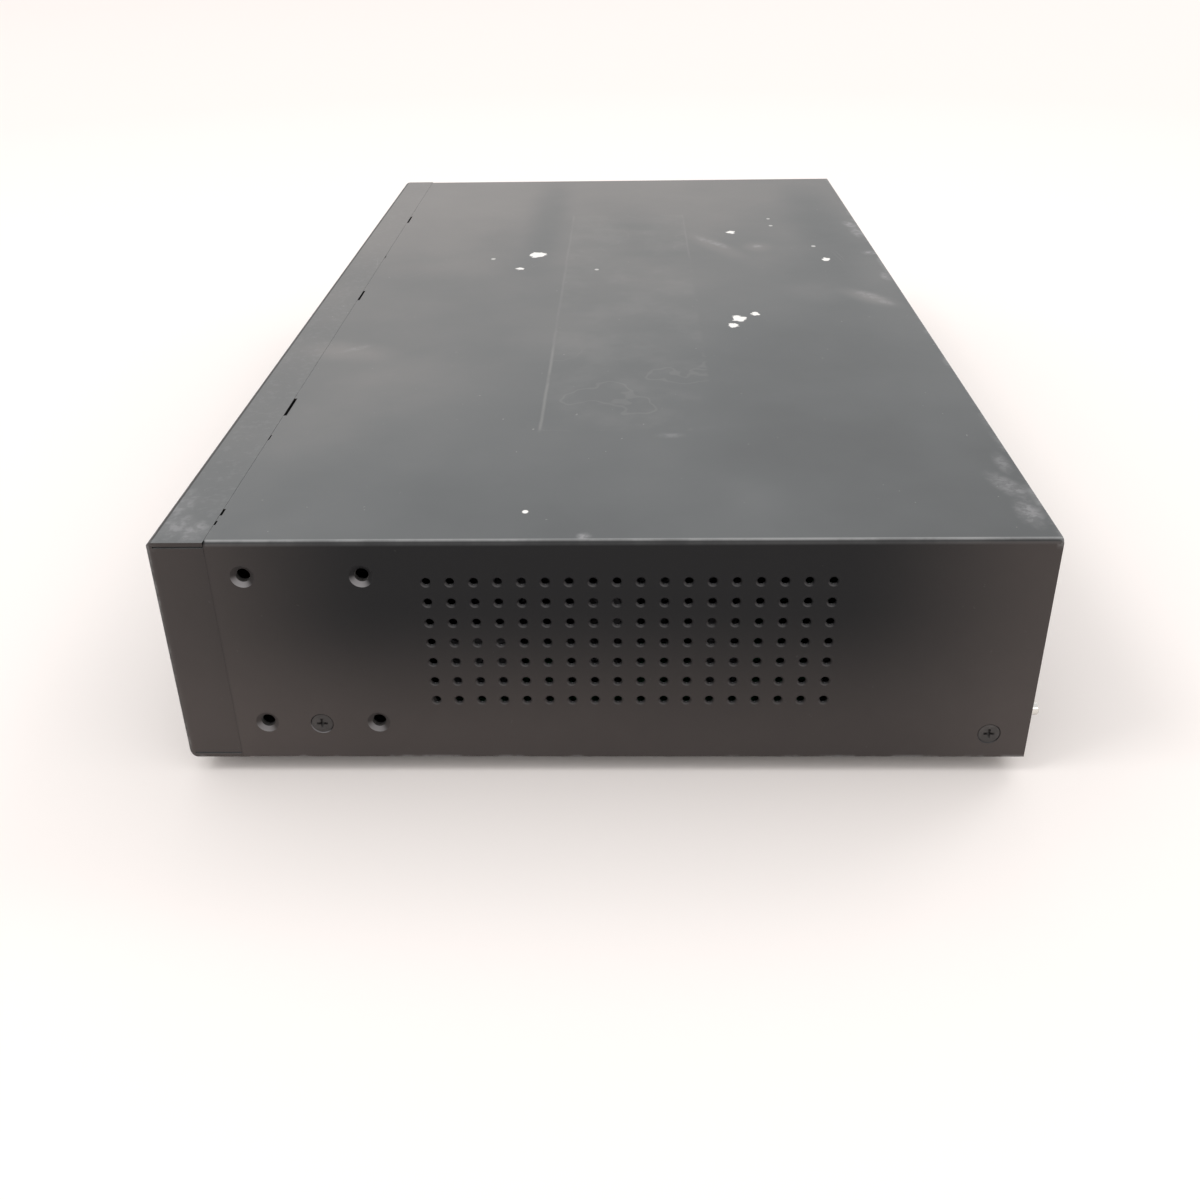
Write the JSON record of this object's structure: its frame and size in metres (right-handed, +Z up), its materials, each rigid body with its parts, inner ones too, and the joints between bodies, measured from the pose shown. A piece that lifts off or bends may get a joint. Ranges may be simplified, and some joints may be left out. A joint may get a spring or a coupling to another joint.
{
  "type": "dvr recorder",
  "caption": "Rack-width digital video recorder with folded steel case, vented sides, front keys, jog and shuttle dial, and rear video sockets",
  "frame": {"origin": "on the surface the rubber feet stand on, under the middle of the case", "axes": "+Z up, front faces -Y, +X is the right of someone facing the front"},
  "size_m": [0.44, 0.254, 0.073],
  "materials": {
    "black_paint": "semi-matt black powder coat, dusty and scuffed, with small white chips",
    "bare_steel": "zinc-plated sheet steel",
    "nickel": "nickel-plated connector metal",
    "screw_black": "black-oxide steel",
    "key_plastic": "fine-textured dark plastic",
    "socket_plastic": "black moulded plastic",
    "smoked_window": "smoked acrylic",
    "foot_rubber": "moulded rubber",
    "circuit_board": "green solder mask with dark components",
    "terminal_green": "green moulded plastic",
    "aluminium": "cast and extruded aluminium",
    "cable_jacket": "red cable jacket",
    "ribbon_grey": "grey ribbon cable",
    "light_guide": "clear moulded plastic",
    "dial_metal": "turned, anodised aluminium"
  },
  "bodies": {
    "case": {"alarm_terminal_board": "terminal_green", "audio_rca_block": "socket_plastic", "base_pan": "black_paint", "bnc_block_left": "nickel", "bnc_block_right": "nickel", "fan_frame": "socket_plastic", "foot_front_left": "foot_rubber", "foot_front_right": "foot_rubber", "foot_rear_left": "foot_rubber", "foot_rear_right": "foot_rubber", "front_panel": "black_paint", "front_ribbon_cable": "ribbon_grey", "front_usb_socket": "bare_steel", "front_window": "smoked_window", "hard_disk": "aluminium", "hdmi_socket": "nickel", "heat_sink": "aluminium", "key_board": "circuit_board", "lan_socket": "nickel", "main_board": "circuit_board", "mains_inlet": "socket_plastic", "power_supply": "circuit_board", "rear_panel": "black_paint", "rear_screw_left": "screw_black", "rear_screw_middle": "screw_black", "rear_screw_right": "screw_black", "sata_cable": "cable_jacket", "side_screw_front_left": "screw_black", "side_screw_front_right": "screw_black", "side_screw_rear_left": "screw_black", "side_screw_rear_right": "screw_black", "status_light_guide": "light_guide", "supply_harness": "cable_jacket", "switch_housing": "socket_plastic", "top_cover": "black_paint", "usb_socket_rear": "nickel", "vga_socket": "nickel"},
    "key_1": {"key_1": "key_plastic"},
    "key_2": {"key_2": "key_plastic"},
    "key_3": {"key_3": "key_plastic"},
    "key_4": {"key_4": "key_plastic"},
    "key_5": {"key_5": "key_plastic"},
    "key_6": {"key_6": "key_plastic"},
    "key_7": {"key_7": "key_plastic"},
    "key_8": {"key_8": "key_plastic"},
    "key_9": {"key_9": "key_plastic"},
    "key_0": {"key_0": "key_plastic"},
    "key_menu": {"key_menu": "key_plastic"},
    "key_exit": {"key_exit": "key_plastic"},
    "key_up": {"key_up": "key_plastic"},
    "key_down": {"key_down": "key_plastic"},
    "key_left": {"key_left": "key_plastic"},
    "key_right": {"key_right": "key_plastic"},
    "key_enter": {"key_enter": "key_plastic"},
    "power_key": {"power_button": "key_plastic"},
    "dial": {"jog_dial": "dial_metal"},
    "ring": {"shuttle_ring": "key_plastic"},
    "rocker": {"power_rocker": "socket_plastic"},
    "rotor": {"fan_rotor": "socket_plastic"}
  },
  "joints": [
    {"name": "press_1", "type": "slide", "parent": "case", "child": "key_1", "axis": [0, 1, 0], "range_m": [0, 0.0008], "stiffness_N_per_m": 600, "springref_m": -0.0004},
    {"name": "press_2", "type": "slide", "parent": "case", "child": "key_2", "axis": [0, 1, 0], "range_m": [0, 0.0008], "stiffness_N_per_m": 600, "springref_m": -0.0004},
    {"name": "press_3", "type": "slide", "parent": "case", "child": "key_3", "axis": [0, 1, 0], "range_m": [0, 0.0008], "stiffness_N_per_m": 600, "springref_m": -0.0004},
    {"name": "press_4", "type": "slide", "parent": "case", "child": "key_4", "axis": [0, 1, 0], "range_m": [0, 0.0008], "stiffness_N_per_m": 600, "springref_m": -0.0004},
    {"name": "press_5", "type": "slide", "parent": "case", "child": "key_5", "axis": [0, 1, 0], "range_m": [0, 0.0008], "stiffness_N_per_m": 600, "springref_m": -0.0004},
    {"name": "press_6", "type": "slide", "parent": "case", "child": "key_6", "axis": [0, 1, 0], "range_m": [0, 0.0008], "stiffness_N_per_m": 600, "springref_m": -0.0004},
    {"name": "press_7", "type": "slide", "parent": "case", "child": "key_7", "axis": [0, 1, 0], "range_m": [0, 0.0008], "stiffness_N_per_m": 600, "springref_m": -0.0004},
    {"name": "press_8", "type": "slide", "parent": "case", "child": "key_8", "axis": [0, 1, 0], "range_m": [0, 0.0008], "stiffness_N_per_m": 600, "springref_m": -0.0004},
    {"name": "press_9", "type": "slide", "parent": "case", "child": "key_9", "axis": [0, 1, 0], "range_m": [0, 0.0008], "stiffness_N_per_m": 600, "springref_m": -0.0004},
    {"name": "press_0", "type": "slide", "parent": "case", "child": "key_0", "axis": [0, 1, 0], "range_m": [0, 0.0008], "stiffness_N_per_m": 600, "springref_m": -0.0004},
    {"name": "press_menu", "type": "slide", "parent": "case", "child": "key_menu", "axis": [0, 1, 0], "range_m": [0, 0.0008], "stiffness_N_per_m": 600, "springref_m": -0.0004},
    {"name": "press_exit", "type": "slide", "parent": "case", "child": "key_exit", "axis": [0, 1, 0], "range_m": [0, 0.0008], "stiffness_N_per_m": 600, "springref_m": -0.0004},
    {"name": "press_up", "type": "slide", "parent": "case", "child": "key_up", "axis": [0, 1, 0], "range_m": [0, 0.0008], "stiffness_N_per_m": 600, "springref_m": -0.0004},
    {"name": "press_down", "type": "slide", "parent": "case", "child": "key_down", "axis": [0, 1, 0], "range_m": [0, 0.0008], "stiffness_N_per_m": 600, "springref_m": -0.0004},
    {"name": "press_left", "type": "slide", "parent": "case", "child": "key_left", "axis": [0, 1, 0], "range_m": [0, 0.0008], "stiffness_N_per_m": 600, "springref_m": -0.0004},
    {"name": "press_right", "type": "slide", "parent": "case", "child": "key_right", "axis": [0, 1, 0], "range_m": [0, 0.0008], "stiffness_N_per_m": 600, "springref_m": -0.0004},
    {"name": "press_enter", "type": "slide", "parent": "case", "child": "key_enter", "axis": [0, 1, 0], "range_m": [0, 0.0008], "stiffness_N_per_m": 600, "springref_m": -0.0004},
    {"name": "press_power", "type": "slide", "parent": "case", "child": "power_key", "axis": [0, 1, 0], "range_m": [0, 0.0008], "stiffness_N_per_m": 600, "springref_m": -0.0004},
    {"name": "jog_turn", "type": "hinge", "parent": "case", "child": "dial", "pos_m": [0.126, -0.1175, 0.039], "axis": [0, -1, 0], "continuous": true},
    {"name": "shuttle_turn", "type": "hinge", "parent": "case", "child": "ring", "pos_m": [0.126, -0.1175, 0.039], "axis": [0, -1, 0], "range_deg": [-70, 70], "stiffness_Nm_per_rad": 0.02},
    {"name": "mains_rock", "type": "hinge", "parent": "case", "child": "rocker", "pos_m": [0.146, 0.1135, 0.039], "axis": [1, 0, 0], "range_deg": [-18, 0]},
    {"name": "fan_spin", "type": "hinge", "parent": "case", "child": "rotor", "pos_m": [0.104, 0.10555, 0.039], "axis": [0, 1, 0], "continuous": true}
  ]
}
